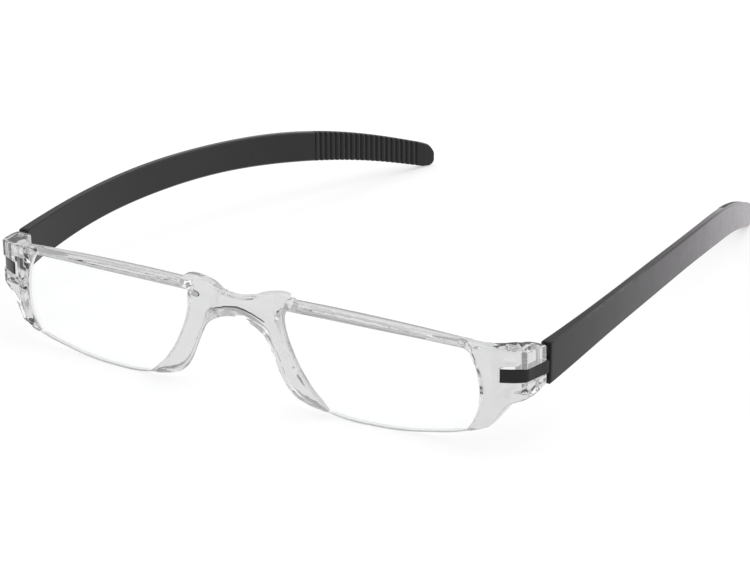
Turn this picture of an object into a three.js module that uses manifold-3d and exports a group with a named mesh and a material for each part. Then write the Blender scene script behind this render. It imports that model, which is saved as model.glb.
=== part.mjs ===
// Folding reading glasses: one clear moulded front with two bonded lenses, two curved
// dark temples whose tongues wrap the outer corners of the front, a steel pin in each
// hinge and a ribbed grip pad on the inner side of each temple tip.
// Frame: millimetres, +Z up, +Y back along the open temples, +X to the right seen from
// the front. The origin is the middle of the footprint of the open glasses on the table:
// X = 0 is the symmetry plane, Y = 0 is midway between the front and the temple tips,
// Z = 0 is the table under the lens bottoms and the temple tips.
// The shapes are drawn for the right side, from the hinge (Y = 0 at the pins, Z = 0 at
// the hinge mid-height), then mirrored and placed by ORIGIN_Y and HINGE_Z.
import * as THREE from 'three';
import { mergeVertices } from 'three/addons/utils/BufferGeometryUtils.js';
import Module from 'manifold-3d';

const wasm = await Module();
wasm.setup();

// ---- driving dimensions -------------------------------------------------------------
const HINGE_Z = 16.2;          // hinge mid-height above the table
const ORIGIN_Y = 64.8275;      // the footprint's middle lies this far behind the pins
const GAP = 0.3;               // gap between neighbouring pieces

const PIN_X = 63.3;            // hinge pin, distance from the symmetry plane
const PIN_R = 0.55;
const PIN_TOP = 4.0;
const PIN_BOTTOM = -4.2;
const BORE_R = 0.8;            // bore for the pin in the lobes and in the knuckle
const LOBE_R = 2.25;           // lobes of the front round the pin
const KNUCKLE_R = 1.95;        // knuckle of the temple round the pin
const ROUND_SIDES = 20;        // sides of the pins and bores

const LEAN = 0.0342;           // the front leans: its lower edge is nearer the face
const BROW_DEPTH = 2.7;        // front-to-back depth of the brow bar
const LENS_FRONT = 0.35;       // lens surfaces, behind the front of the frame
const LENS_BACK = 2.25;

const TONGUE_TOP = 0.95;
const TONGUE_BOTTOM = -1.9;
const TONGUE_DEPTH = 1.3;      // thickness of the hooked end of the tongue
const HOOK_REACH = 3.5;        // the hooked end stops this far inward of the pin
const SLOT_CLEAR = 0.3;        // slot clearance above and below the tongue

const TEMPLE_X = 65.92;        // front end of the temple's outer face
const TEMPLE_Y = 2.6;
const TEMPLE_LEN = 141.9;      // temple length along its outer face
const TEMPLE_DEPTH = 2.45;     // temple thickness at the hinge end
const TIP_R = 3.0;             // length of the rounded temple tip

const GRIP_START = 102.6;      // grip ends, measured along the temple
const GRIP_END = 138.2;
const GRIP_DEPTH = 0.7;        // grip thickness over the ribs
const RIB_PITCH = 1.66;
const GROOVE_DEPTH = 0.32;     // depth of the grooves between the ribs
const RECESS_DEPTH = 0.95;     // recess in the temple for the grip

// ---- numeric helpers ----------------------------------------------------------------
function mix(from, to, share) {
  return from + (to - from) * share;
}

// Piecewise linear value from rows of [key, value], held constant beyond both ends.
function lookUp(table, key) {
  const next = table.findIndex(([rowKey]) => key <= rowKey);
  if (next === 0) return table[0][1];
  if (next < 0) return table[table.length - 1][1];
  const [keyBefore, before] = table[next - 1];
  const [keyAfter, after] = table[next];
  return mix(before, after, (key - keyBefore) / (keyAfter - keyBefore));
}

// Natural cubic spline through evenly spaced values on 0..1.
function spline(values) {
  const last = values.length - 1;
  const bends = new Array(last + 1).fill(0);     // second derivatives at the values
  const factors = new Array(last + 1).fill(0);   // elimination of the tridiagonal system
  const sums = new Array(last + 1).fill(0);
  for (let i = 1; i < last; i++) {
    factors[i] = 1 / (4 - factors[i - 1]);
    const turn = values[i + 1] - 2 * values[i] + values[i - 1];
    sums[i] = (6 * turn - sums[i - 1]) * factors[i];
  }
  for (let i = last - 1; i > 0; i--) bends[i] = sums[i] - factors[i] * bends[i + 1];
  return (share) => {
    const at = THREE.MathUtils.clamp(share, 0, 1) * last;
    const i = Math.min(last - 1, Math.floor(at));
    const after = at - i;
    const before = 1 - after;
    return before * values[i] + after * values[i + 1]
      + ((before ** 3 - before) * bends[i] + (after ** 3 - after) * bends[i + 1]) / 6;
  };
}

// ---- solids -------------------------------------------------------------------------
function signedVolume(positions, indices) {
  const corner = (i) => new THREE.Vector3().fromArray(positions, indices[i] * 3);
  let total = 0;
  for (let i = 0; i < indices.length; i += 3) {
    total += corner(i).dot(corner(i + 1).cross(corner(i + 2)));
  }
  return total / 6;
}

// Welds the vertices and turns the triangles outward if they face inward.
function toManifold(geometry) {
  geometry.deleteAttribute('normal');
  geometry.deleteAttribute('uv');
  const merged = mergeVertices(geometry, 1e-5);
  const vertProperties = merged.attributes.position.array;
  const triVerts = Uint32Array.from(merged.index.array);
  if (signedVolume(vertProperties, triVerts) < 0) {
    for (let i = 0; i < triVerts.length; i += 3) {
      [triVerts[i + 1], triVerts[i + 2]] = [triVerts[i + 2], triVerts[i + 1]];
    }
  }
  return new wasm.Manifold(new wasm.Mesh({ numProp: 3, vertProperties, triVerts }));
}

function toGeometry(solid) {
  const mesh = solid.getMesh();
  const geometry = new THREE.BufferGeometry();
  geometry.setAttribute('position', new THREE.Float32BufferAttribute(mesh.vertProperties, 3));
  geometry.setIndex(new THREE.Uint32BufferAttribute(mesh.triVerts, 1));
  return geometry;
}

// Solid from a geometry whose every vertex is moved to move(x, y, z).
function reshape(geometry, move) {
  const position = geometry.attributes.position;
  for (let i = 0; i < position.count; i++) {
    position.setXYZ(i, ...move(position.getX(i), position.getY(i), position.getZ(i)));
  }
  return toManifold(geometry);
}

function mirrored(solid) {
  return reshape(toGeometry(solid), (x, y, z) => [-x, y, z]);
}

function leaned(solid) {
  return reshape(toGeometry(solid), (x, y, z) => [x, y - LEAN * z, z]);
}

// A swept body: an extruded bar whose vertices are laid at place(ring, corner).
function sweep(corners, steps, place) {
  const points = [];
  for (let i = 0; i < corners; i++) {
    const angle = 2 * Math.PI * i / corners;
    points.push(new THREE.Vector2(Math.cos(angle), Math.sin(angle)));
  }
  const shape = new THREE.Shape(points);
  shape.closePath();
  const bar = new THREE.ExtrudeGeometry(shape, { depth: 1, steps, bevelEnabled: false });
  return reshape(bar, (x, y, z) => {
    const corner = Math.round(Math.atan2(y, x) / (2 * Math.PI) * corners);
    return place(Math.round(z * steps), (corner + corners) % corners);
  });
}

// A plate: an outline in the plane across the axis, pushed along the axis.
const PLATE_AXES = {
  x: (across, up, along) => [along, across, up],
  y: (across, up, along) => [across, along, up],
  z: (across, up, along) => [across, up, along],
};
function plate(points, axis, from, to) {
  const shape = new THREE.Shape(points.map(([across, up]) => new THREE.Vector2(across, up)));
  const slab = new THREE.ExtrudeGeometry(shape, { depth: to - from, bevelEnabled: false });
  return reshape(slab, (x, y, z) => PLATE_AXES[axis](x, y, z + from));
}

// An upright cylinder on the hinge axis.
function hingePost(radius, bottom, top) {
  const geometry = new THREE.CylinderGeometry(radius, radius, top - bottom, ROUND_SIDES);
  geometry.rotateX(Math.PI / 2);
  geometry.translate(PIN_X, 0, (bottom + top) / 2);
  return toManifold(geometry);
}

// Plan points given as [x outward of the pin, y].
function fromPin(points) {
  return points.map(([x, y]) => [PIN_X + x, y]);
}

// ---- the front surface --------------------------------------------------------------
// plan curve of the front: nearly flat, then wrapping back towards the corners
const FRONT_Y = -11.923;       // at the symmetry plane
const BOW = 947.6;             // the curve goes back by x squared over this
const WRAP_X = 50.47;          // the wrap starts here
const WRAP_RATE = 0.00121775;
const WRAP_POWER = 2.95;
function frontY(x) {
  const wrap = Math.max(0, Math.abs(x) - WRAP_X) ** WRAP_POWER;
  return FRONT_Y + x * x / BOW + WRAP_RATE * wrap;
}

// A point at a depth behind the leaning front surface, square to its plan curve.
function frontPoint(x, z, depth) {
  const step = 0.05;
  const slope = (frontY(x + step) - frontY(x - step)) / (2 * step);
  const length = Math.hypot(1, slope);
  return [x - depth * slope / length, frontY(x) + depth / length - LEAN * z, z];
}

// ---- brow bar -----------------------------------------------------------------------
const BROW_START = 10.2;
const BROW_END = 59;
const BROW_STEPS = 18;
// lower and upper edge: [x, z]
const BROW_LOW = [
  [8, 5.8], [14.95, 5.77], [21.93, 5.64], [28.78, 5.44], [35.51, 5.23],
  [42.13, 5.02], [48.63, 4.73], [52.5, 4.6], [60, 4.2],
];
const BROW_TOP = [
  [8, 7.3], [12, 7.45], [17.4, 7.5], [22, 7.5], [29, 7.35], [35.6, 7.1],
  [42.2, 6.75], [48.7, 6.3], [52.9, 5.95], [55, 5.75], [57.8, 5.45], [60, 5.3],
];

// With grow > 0, here and below: a body grown towards the lens, to cut the lens seat.
function browBar(grow = 0) {
  const back = BROW_DEPTH;
  return sweep(8, BROW_STEPS, (ring, corner) => {
    const x = mix(BROW_START, BROW_END, ring / BROW_STEPS);
    const low = lookUp(BROW_LOW, x) - grow;
    const top = lookUp(BROW_TOP, x);
    // section: [depth, z]
    const section = grow > 0
      ? [
        [-1, low], [0, low], [back, low], [back + 1, low],
        [back + 1, top], [back, top], [0, top], [-1, top],
      ]
      : [
        [0, low + 0.3], [0.25, low], [back - 0.25, low], [back, low + 0.3],
        [back, top - 0.5], [back - 0.4, top], [0.9, top], [0, top - 0.6],
      ];
    const [depth, z] = section[corner];
    return frontPoint(x, z, depth);
  });
}

// ---- bridge and leg beside the nose -------------------------------------------------
// [nose edge x, nose edge z, lens edge x, lens edge z, depth]
const LEG = [
  [0, 1.45, 0, 6.7, 3.5],
  [2.0, 1.15, 2.2, 6.85, 3.5],
  [4.2, 0.4, 4.6, 7.4, 3.6],
  [5.8, -0.5, 7.2, 8.0, 3.8],
  [7.0, -1.6, 9.6, 7.6, 4.0],
  [7.9, -3.2, 11.4, 4.9, 4.2],
  [8.7, -4.9, 11.6, 1.9, 4.2],
  [9.4, -6.5, 12.5, -1.5, 4.1],
  [10.2, -8.4, 13.7, -4.4, 3.9],
  [11.1, -10.2, 15.2, -7.4, 3.7],
  [12.2, -11.8, 16.8, -9.8, 3.5],
  [13.4, -13.0, 18.4, -11.8, 3.2],
  [15.0, -13.95, 19.8, -13.1, 3.0],
  [17.5, -14.8, 20.9, -14.1, 2.7],
  [20.6, -15.4, 21.8, -14.85, 2.4],
];
const LEG_END_SHIFT = [0.35, -0.3, 0.45, 0.1, 0];   // added to the last row of the cutter
const BRIDGE_RINGS = 4;        // the first rings belong to the bridge

// Sections below: [distance from the nose edge, depth].
function legCutSection(width, depth) {
  return [
    [0, 0], [0, 0], [0, 0.2], [0, 1], [0, depth], [0, depth + 1],
    [width / 2, depth + 1], [width, depth + 1], [width, depth],
    [width, 1], [width, -1], [width / 2, -1],
  ];
}

// Deep on the nose side and thinner at the lens; the bridge slopes down behind.
function legSection(width, depth, onBridge) {
  const narrow = Math.min(1, width / 4.5);   // shrinks the corners of narrow rings
  const shallow = Math.min(1, depth / 3.4);  // and of shallow rings
  const lensDepth = onBridge ? depth - 1.3 : Math.min(depth, 2.7);
  // the nose side flares away from the nose as it goes back
  const flare = Math.min(0.55, 0.35 * width / (depth - 0.5));
  return [
    [0.6 * narrow, 0],
    [0.2 * narrow, 0.15],
    [0, 0.55],
    [flare * (depth * 0.35 - 0.5), depth * 0.35],
    [flare * (depth * 0.65 - 0.5), depth * 0.65],
    [flare * (depth - 0.9), depth - 0.4 * shallow],
    [flare * (depth - 0.5) + 0.45 * narrow, depth],
    [width - 0.8 * narrow, lensDepth],
    [width, lensDepth - 0.8 * shallow],
    [width, lensDepth * 0.5],
    [width, 0.35],
    [width - 0.3 * narrow, 0],
  ];
}

function leg(grow = 0) {
  const last = LEG.length - 1;
  return sweep(12, last, (ring, corner) => {
    const shifted = grow > 0 && ring === last;
    const row = LEG[ring].map((value, i) => (shifted ? value + LEG_END_SHIFT[i] : value));
    const [noseX, noseZ, lensX, lensZ, depth] = row;
    const span = Math.hypot(lensX - noseX, lensZ - noseZ);
    const onBridge = ring < BRIDGE_RINGS;
    const section = grow > 0 && !onBridge
      ? legCutSection(span + grow, depth)
      : legSection(span + grow, depth, onBridge);
    const [across, behind] = section[corner];
    const x = noseX + (lensX - noseX) / span * across;
    const z = noseZ + (lensZ - noseZ) / span * across;
    return frontPoint(x, z, behind);
  });
}

// ---- nose pad: a rounded lobe behind the top of each leg ----------------------------
const PAD_X = 9.0;
const PAD_Z = 6.05;
const PAD_BACK = 2.3;          // pad centre behind the front surface
const PAD_HALF = [4.7, 1.95, 2.35];
const PAD_TURN = -0.2;         // radians about Y
function nosePad(grow = 0) {
  const geometry = new THREE.SphereGeometry(1, 20, 12);
  geometry.scale(...PAD_HALF.map((half) => half + grow));
  geometry.rotateY(PAD_TURN);
  geometry.translate(PAD_X, frontY(PAD_X) + PAD_BACK - LEAN * PAD_Z, PAD_Z);
  return toManifold(geometry);
}

// ---- end piece: the outer corner of the front ---------------------------------------
// front outline, anticlockwise seen from the front: [x, z]
const END_IN = [
  [52.4, 4.7], [53.3, 4.1], [54.1, 2.7], [54.8, 1.2], [55.3, -0.6], [55.6, -2.4],
  [55.75, -4.2], [55.7, -6.2], [55.5, -8.0], [54.9, -9.7], [54.2, -11.2],
  [53.4, -12.4], [52.7, -13.4],
];
const END_BOTTOM = [
  [53.76, -13.12], [55.72, -12.5], [57.1, -11.98], [57.5, -11.76], [57.78, -11.44],
  [60.5, -7.5], [60.78, -7.15], [61.15, -6.85], [61.7, -6.55], [62.57, -6.23],
  [63.52, -5.95], [64.45, -5.5], [66.6, -4.6],
];
const END_TOP = [
  [66.6, 4.4], [64.5, 4.75], [62.5, 4.95], [60, 5.25], [57.8, 5.5], [55, 5.8],
  [52.9, 6.05], [51.6, 6.2], [51.6, 4.9],
];
// side outline: [y, z]
const END_SIDE = [
  [-14, -15], [-3.2, -15], [-1.7, -5.25], [-0.6, -4.9], [0.6, -4.35],
  [2.4, -3.95], [2.4, 3.7], [2.0, 4.25], [1.2, 4.5], [-14, 8],
];
// plan outline: [x, y] round the outer corner, then along the back towards the lens
const END_OUTER = [
  [64.2, -4.95], [64.6, -4.62], [64.82, -3.9], [65.2, -1.2],
  [65.5, 0.9], [65.45, 1.7], [65.0, LOBE_R], [PIN_X, LOBE_R],
];
const END_BACK = [[61.0, -0.6], [60.1, -1.2], [58.8, -3.4], [57.2, -5.3], [55.2, -6.7]];
const END_PLAN_START = 51;     // the plan outline follows the front surface between these
const END_PLAN_STOP = 63.7;
const END_DEPTH = 2.3;         // depth of the end piece beside the lens

function endPlan() {
  const plan = [];
  for (let i = 0; i <= 12; i++) {
    const x = mix(END_PLAN_START, END_PLAN_STOP, i / 12);
    plan.push([x, frontY(x)]);
  }
  plan.push(...END_OUTER);
  for (let i = 1; i <= 6; i++) {
    const angle = Math.PI / 2 * (1 + i / 6);
    plan.push([PIN_X + LOBE_R * Math.cos(angle), LOBE_R * Math.sin(angle)]);
  }
  plan.push(...END_BACK);
  for (const x of [53.4, END_PLAN_START]) plan.push([x, frontY(x) + END_DEPTH]);
  return plan;
}

function endPiece() {
  const outline = [...END_IN, ...END_BOTTOM, ...END_TOP].reverse();
  const body = plate(endPlan(), 'z', -15, 9).intersect(plate(outline, 'y', -14, 4));
  return leaned(body).intersect(plate(END_SIDE, 'x', 50, 68));
}

// The slot leaves the tongue free to swing out: its floor follows the back of the tongue.
const SLOT_PLAN = [
  [-2.3, 4], [-2.3, -0.9], [-1.9, -3.1], [-4.35, -5.75],
  [-3.85, -7.6], [-3.85, -10], [6, -10], [6, 4],
];
function slot() {
  return plate(fromPin(SLOT_PLAN), 'z', TONGUE_BOTTOM - SLOT_CLEAR, TONGUE_TOP + SLOT_CLEAR);
}

// ---- clear front --------------------------------------------------------------------
function halfFront() {
  const otherSide = plate([[-20, -30], [0, -30], [0, 20], [-20, 20]], 'z', -30, 30);
  return browBar().add(leg()).add(nosePad()).add(endPiece())
    .subtract(slot())
    .subtract(hingePost(BORE_R, -12, 12))
    .subtract(otherSide);
}

function frontFrame() {
  const half = halfFront();
  return half.add(mirrored(half));
}

// ---- lens ---------------------------------------------------------------------------
// nose-side and lower edge: [x, z]
const LENS_IN = [
  [22.2, -15.3], [21.6, -14.25], [20.0, -12.75], [18.6, -11.2], [16.9, -9.1],
  [15.4, -6.5], [14.1, -3.9], [13.1, -1.8], [12.3, 0.3], [11.85, 2.4],
  [11.8, 4.2], [11.9, 5.5],
];
const LENS_BOTTOM = [
  [21.9, -15.35], [24.5, -15.85], [28, -16.2], [35.5, -16.2],
  [40.7, -15.75], [45.2, -15.05], [49.5, -14.3], [52.4, -13.55],
];
const LENS_OVERLAP = 0.5;      // the blank runs this far past its nose-side edge
const LENS_ROWS = 11;
const LENS_COLUMNS = 26;

// A blank spanned between its four edges, trimmed to leave a gap to the frame.
function lens() {
  const innerEdge = LENS_IN.map(([x, z]) => [z, x - LENS_OVERLAP]);
  const outerEdge = END_IN.map(([x, z]) => [z, x - GAP]).reverse();
  const blank = sweep(2 * (LENS_ROWS + 1), LENS_COLUMNS, (ring, corner) => {
    const atFront = corner <= LENS_ROWS;
    const across = ring / LENS_COLUMNS;
    const up = (atFront ? corner : 2 * LENS_ROWS + 1 - corner) / LENS_ROWS;
    // x and z depend on each other through the edges: start from a guess and repeat
    let x = mix(mix(22.2, 11.9, up), 52.4, across);
    let z;
    for (let i = 0; i < 6; i++) {
      z = mix(lookUp(LENS_BOTTOM, x), lookUp(BROW_LOW, x) - GAP, up);
      x = mix(lookUp(innerEdge, z), lookUp(outerEdge, z), across);
    }
    return frontPoint(x, z, atFront ? LENS_FRONT : LENS_BACK);
  });
  return blank.subtract(leg(GAP)).subtract(browBar(GAP)).subtract(nosePad(GAP));
}

// ---- temple path --------------------------------------------------------------------
// values at seven evenly spaced stations, hinge end to tip
const TEMPLE_HEADING = [-3.87, 0.62, 5.27, 9.2, 13.64, 16.42, 17.96];  // degrees inward
const TEMPLE_MID = [0, 2.19, 2.7, 1.46, -1.57, -6.78, -14.3];
const TEMPLE_HEIGHT = [8.9, 7.75, 7.4, 7.2, 7.4, 6.75, 5.95];
const TEMPLE_THICK = [TEMPLE_DEPTH, 1.95, 1.75, 1.65, 1.7, 1.95, 1.9];
const PATH_STEPS = 600;

const headingCurve = spline(TEMPLE_HEADING);
const midCurve = spline(TEMPLE_MID);
const heightCurve = spline(TEMPLE_HEIGHT);
const thickCurve = spline(TEMPLE_THICK);

// "along" is the distance along the outer face from the hinge end.
const headingAt = (along) => headingCurve(along / TEMPLE_LEN) * Math.PI / 180;
const midAt = (along) => midCurve(along / TEMPLE_LEN);

// plan points of the outer face, stepped along the heading: [x, y]
const PATH = [[TEMPLE_X, TEMPLE_Y]];
for (let i = 0; i < PATH_STEPS; i++) {
  const step = TEMPLE_LEN / PATH_STEPS;
  const heading = headingAt((i + 0.5) * step);
  const [x, y] = PATH[i];
  PATH.push([x - Math.sin(heading) * step, y + Math.cos(heading) * step]);
}

// A point at a depth inward of the outer face.
function templePoint(along, depth, z) {
  const at = THREE.MathUtils.clamp(along / TEMPLE_LEN, 0, 1) * PATH_STEPS;
  const i = Math.min(PATH_STEPS - 1, Math.floor(at));
  const [x, y] = [0, 1].map((axis) => mix(PATH[i][axis], PATH[i + 1][axis], at - i));
  const heading = headingAt(along);
  return [x - Math.cos(heading) * depth, y - Math.sin(heading) * depth, z];
}

const aboveTable = (z) => Math.max(z, -HINGE_Z);

// Depths of the outer and inner face: the temple thins evenly about its middle.
function faces(along) {
  const half = thickCurve(along / TEMPLE_LEN) / 2;
  return [TEMPLE_DEPTH / 2 - half, TEMPLE_DEPTH / 2 + half];
}

// Half the temple height, rounded off at the tip.
function halfHeight(along) {
  const half = heightCurve(along / TEMPLE_LEN) / 2;
  const intoTip = along - (TEMPLE_LEN - TIP_R);
  if (intoTip <= 0) return half;
  return half * Math.sqrt(Math.max(0.06, 1 - (intoTip / TIP_R) ** 2));
}

// ---- temple -------------------------------------------------------------------------
const BLADE_STEPS = 33;                    // up to the rounded tip
const TIP_SHARES = [0.4, 0.7, 0.88, 1];    // stations within the tip
const BLADE_CHAMFER = 0.3;

function blade() {
  const tipStart = TEMPLE_LEN - TIP_R;
  const stations = TIP_SHARES.map((share) => tipStart + TIP_R * share);
  for (let i = BLADE_STEPS; i >= 0; i--) stations.unshift(i * tipStart / BLADE_STEPS);
  return sweep(8, stations.length - 1, (ring, corner) => {
    const along = stations[ring];
    const half = halfHeight(along);
    const low = midAt(along) - half;
    const top = midAt(along) + half;
    const cut = Math.min(BLADE_CHAMFER, half * 0.5);
    const [outer, inner] = faces(along);
    const [depth, z] = [
      [outer, low + cut], [outer, top - cut], [outer + cut, top], [inner - cut, top],
      [inner, top - cut], [inner, low + cut], [inner - cut, low], [outer + cut, low],
    ][corner];
    return templePoint(along, depth, aboveTable(z));
  });
}

// outer side of the tongue from the temple to the corner: [x outward of the pin, y]
const TONGUE_OUTER = [[2.4, 4.0], [2.33, 2.25], [1.9, 0], [1.38, -3.1], [1.15, -4.1], [0.8, -4.65]];

// From the front end of the temple past the pin and round the corner.
function tongue() {
  const plan = fromPin(TONGUE_OUTER);
  for (const inward of [-0.3, 0.6, 1.6, 2.6, HOOK_REACH]) {
    plan.push(frontPoint(PIN_X - inward, 0, 0));
  }
  plan.push(frontPoint(PIN_X - HOOK_REACH, 0, TONGUE_DEPTH));
  plan.push(...fromPin([[-1.55, -3.05]]));
  for (let i = 0; i <= 7; i++) {
    const angle = Math.PI * (1.12 - 0.62 * i / 7);
    plan.push([PIN_X + KNUCKLE_R * Math.cos(angle), KNUCKLE_R * Math.sin(angle)]);
  }
  plan.push(...fromPin([[0.25, 2.3], [0.25, 4.0]]));
  return plate(plan, 'z', TONGUE_BOTTOM, TONGUE_TOP).subtract(hingePost(BORE_R, -6, 6));
}

function gripRecess() {
  const steps = 14;
  const reach = 9;             // past the temple's upper and lower edges
  return sweep(4, steps, (ring, corner) => {
    const along = mix(GRIP_START - GAP, GRIP_END + GAP, ring / steps);
    const inner = faces(along)[1];
    const [depth, rise] = [
      [inner - RECESS_DEPTH, -reach], [inner - RECESS_DEPTH, reach],
      [inner + 1, reach], [inner + 1, -reach],
    ][corner];
    return templePoint(along, depth, midAt(along) + rise);
  });
}

function temple() {
  return blade().add(tongue()).subtract(gripRecess());
}

// ---- grip ---------------------------------------------------------------------------
const GRIP_MARGIN = 1.0;       // plain length before the first groove
const GRIP_INSET = 0.05;       // grip edges inside the temple's upper and lower edges
const GRIP_CHAMFER = 0.35;
// one groove: [distance along, depth]
const GROOVE = [[0, 0], [0.22, GROOVE_DEPTH], [0.5, GROOVE_DEPTH], [0.72, 0]];

function grip() {
  const stations = [[GRIP_START, 0]];
  const count = Math.floor((GRIP_END - GRIP_START - GRIP_MARGIN) / RIB_PITCH);
  for (let i = 0; i < count; i++) {
    const start = GRIP_START + GRIP_MARGIN + i * RIB_PITCH;
    for (const [offset, groove] of GROOVE) stations.push([start + offset, groove]);
  }
  stations.push([GRIP_END, 0]);
  return sweep(6, stations.length - 1, (ring, corner) => {
    const [along, groove] = stations[ring];
    const half = halfHeight(along) - GRIP_INSET - 0.6 * groove;
    const low = midAt(along) - half;
    const top = midAt(along) + half;
    const inner = faces(along)[1];
    const [depth, z] = [
      [inner - GRIP_DEPTH, low], [inner - GRIP_DEPTH, top], [inner - GRIP_CHAMFER, top],
      [inner - groove, top - GRIP_CHAMFER], [inner - groove, low + GRIP_CHAMFER],
      [inner - GRIP_CHAMFER, low],
    ][corner];
    return templePoint(along, depth, aboveTable(z));
  });
}

// ---- materials ----------------------------------------------------------------------
function seeThrough(color, roughness, opacity) {
  return new THREE.MeshStandardMaterial({
    color, roughness, metalness: 0, transparent: true, opacity, side: THREE.DoubleSide,
  });
}
function opaque(color, roughness, metalness) {
  return new THREE.MeshStandardMaterial({ color, roughness, metalness });
}
const clearPlastic = () => seeThrough(0xdfe3e6, 0.08, 0.35);
const lensPlastic = () => seeThrough(0xf6f8fa, 0.03, 0.18);
const darkPlastic = () => opaque(0x3a393c, 0.45, 0);
const gripRubber = () => opaque(0x363438, 0.6, 0);
const steel = () => opaque(0xb9bcc0, 0.3, 1);

// ---- assembly -----------------------------------------------------------------------
const glasses = new THREE.Group();
glasses.name = 'folding_reading_glasses';

function put(name, solid, material) {
  const geometry = toGeometry(solid);
  geometry.computeVertexNormals();
  const mesh = new THREE.Mesh(geometry, material);
  mesh.name = name;
  mesh.position.set(0, -ORIGIN_Y, HINGE_Z);
  glasses.add(mesh);
}

function putPair(name, right, material) {
  put(`${name}_right`, right, material());
  put(`${name}_left`, mirrored(right), material());
}

put('front_frame', frontFrame(), clearPlastic());
putPair('lens', lens(), lensPlastic);
putPair('hinge_pin', hingePost(PIN_R, PIN_BOTTOM, PIN_TOP), steel);
putPair('temple', temple(), darkPlastic);
putPair('grip', grip(), gripRubber);

export default glasses;
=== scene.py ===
"""Folding reading glasses: the visual model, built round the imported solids."""
import math

import bpy
import numpy as np
from mathutils import Matrix, Vector


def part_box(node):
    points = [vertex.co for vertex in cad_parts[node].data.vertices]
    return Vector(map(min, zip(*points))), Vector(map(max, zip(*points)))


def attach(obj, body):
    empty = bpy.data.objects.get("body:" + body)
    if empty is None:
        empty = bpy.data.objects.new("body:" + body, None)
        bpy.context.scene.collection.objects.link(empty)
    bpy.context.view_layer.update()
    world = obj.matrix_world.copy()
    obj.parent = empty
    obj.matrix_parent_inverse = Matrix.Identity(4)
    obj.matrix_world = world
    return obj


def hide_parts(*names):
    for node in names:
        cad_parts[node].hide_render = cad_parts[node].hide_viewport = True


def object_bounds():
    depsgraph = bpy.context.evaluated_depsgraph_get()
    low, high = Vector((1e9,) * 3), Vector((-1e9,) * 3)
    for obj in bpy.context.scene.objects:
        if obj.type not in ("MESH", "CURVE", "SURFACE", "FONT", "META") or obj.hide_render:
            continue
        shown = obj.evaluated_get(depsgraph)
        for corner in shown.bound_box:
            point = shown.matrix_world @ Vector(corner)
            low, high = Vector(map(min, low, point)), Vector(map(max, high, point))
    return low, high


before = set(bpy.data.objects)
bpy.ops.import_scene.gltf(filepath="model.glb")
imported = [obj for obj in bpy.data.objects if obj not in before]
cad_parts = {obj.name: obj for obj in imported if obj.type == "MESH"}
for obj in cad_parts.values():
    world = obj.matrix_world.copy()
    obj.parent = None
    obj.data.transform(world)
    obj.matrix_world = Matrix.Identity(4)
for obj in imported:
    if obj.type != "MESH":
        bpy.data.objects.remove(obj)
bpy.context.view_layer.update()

STEP = 0.13     # mm, cell size of the clear front's surface
LONG = 0.35     # mm, cell length along the plain middle of a brow bar

# ---------------------------------------------------------------------------------
# Where things are. The shapes are drawn in millimetres from the hinge (x from the
# symmetry plane, y from the pins, z from the hinge mid-height) and placed by the
# packed hinge pins, as the solids are.
# ---------------------------------------------------------------------------------
pin_lo, pin_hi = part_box("hinge_pin_right")
PIN = (pin_lo + pin_hi) / 2
PIN_X = PIN.x * 1000.0
PY = PIN.y
HZ = PIN.z + 0.0001                # the pins reach 4.0 mm up and 4.2 mm down
PANTO = 0.0342
K = 1.03


def place(v):
    """hinge millimetres -> row frame metres"""
    v = np.asarray(v, float)
    return np.stack([v[:, 0] * 0.001, v[:, 1] * 0.001 + PY, v[:, 2] * 0.001 + HZ], 1)


def front_y(x):
    u = np.abs(x) / K
    return K * (-14.1 + u * u / 920 + 0.00129 * np.maximum(0, u - 49) ** 2.95) + 2.6


def front_slope(x):
    e = 0.05
    return (front_y(x + e) - front_y(x - e)) / (2 * e)


def front_point(x, z, d):
    """a point d mm behind the front surface"""
    s = front_slope(x)
    l = np.sqrt(1 + s * s)
    return np.stack([x - d * s / l, front_y(x) + d / l - PANTO * z, z + 0 * x], -1)


# ---------------------------------------------------------------------------------
# outlines, hinge millimetres
# ---------------------------------------------------------------------------------
BROW_LOW = [[8, 5.8], [14.95, 5.77], [21.93, 5.64], [28.78, 5.44], [35.51, 5.23], [42.13, 5.02], [48.63, 4.73], [52.5, 4.6], [60, 4.2]]
BROW_TOP = [[8, 7.3], [12, 7.45], [17.4, 7.5], [22, 7.5], [29, 7.35], [35.6, 7.1], [42.2, 6.75], [48.7, 6.3], [52.9, 5.95], [55, 5.75], [57.8, 5.45], [60, 5.3]]
BROW_DEPTH = 2.7
LEG = [
    [0, 1.45, 0, 6.7, 3.5], [2.0, 1.15, 2.2, 6.85, 3.5], [4.2, 0.4, 4.6, 7.4, 3.6], [5.8, -0.5, 7.2, 8.0, 3.8],
    [7.0, -1.6, 9.6, 7.6, 4.0], [7.9, -3.2, 11.4, 4.9, 4.2], [8.7, -4.9, 11.6, 1.9, 4.2], [9.4, -6.5, 12.5, -1.5, 4.1],
    [10.2, -8.4, 13.7, -4.4, 3.9], [11.1, -10.2, 15.2, -7.4, 3.7], [12.2, -11.8, 16.8, -9.8, 3.5], [13.4, -13.0, 18.4, -11.8, 3.2],
    [15.0, -13.95, 19.8, -13.1, 3.0], [17.5, -14.8, 20.9, -14.1, 2.7], [20.6, -15.4, 21.8, -14.85, 2.4],
]
PAD = dict(x=9.0, z=6.05, d=2.3, r=(4.7, 1.9, 2.3), turn=-0.2)
END_IN = [[52.4, 4.7], [53.3, 4.1], [54.1, 2.7], [54.8, 1.2], [55.3, -0.6], [55.6, -2.4], [55.75, -4.2], [55.7, -6.2], [55.5, -8.0], [54.9, -9.7], [54.2, -11.2], [53.4, -12.4], [52.7, -13.4]]
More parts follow.
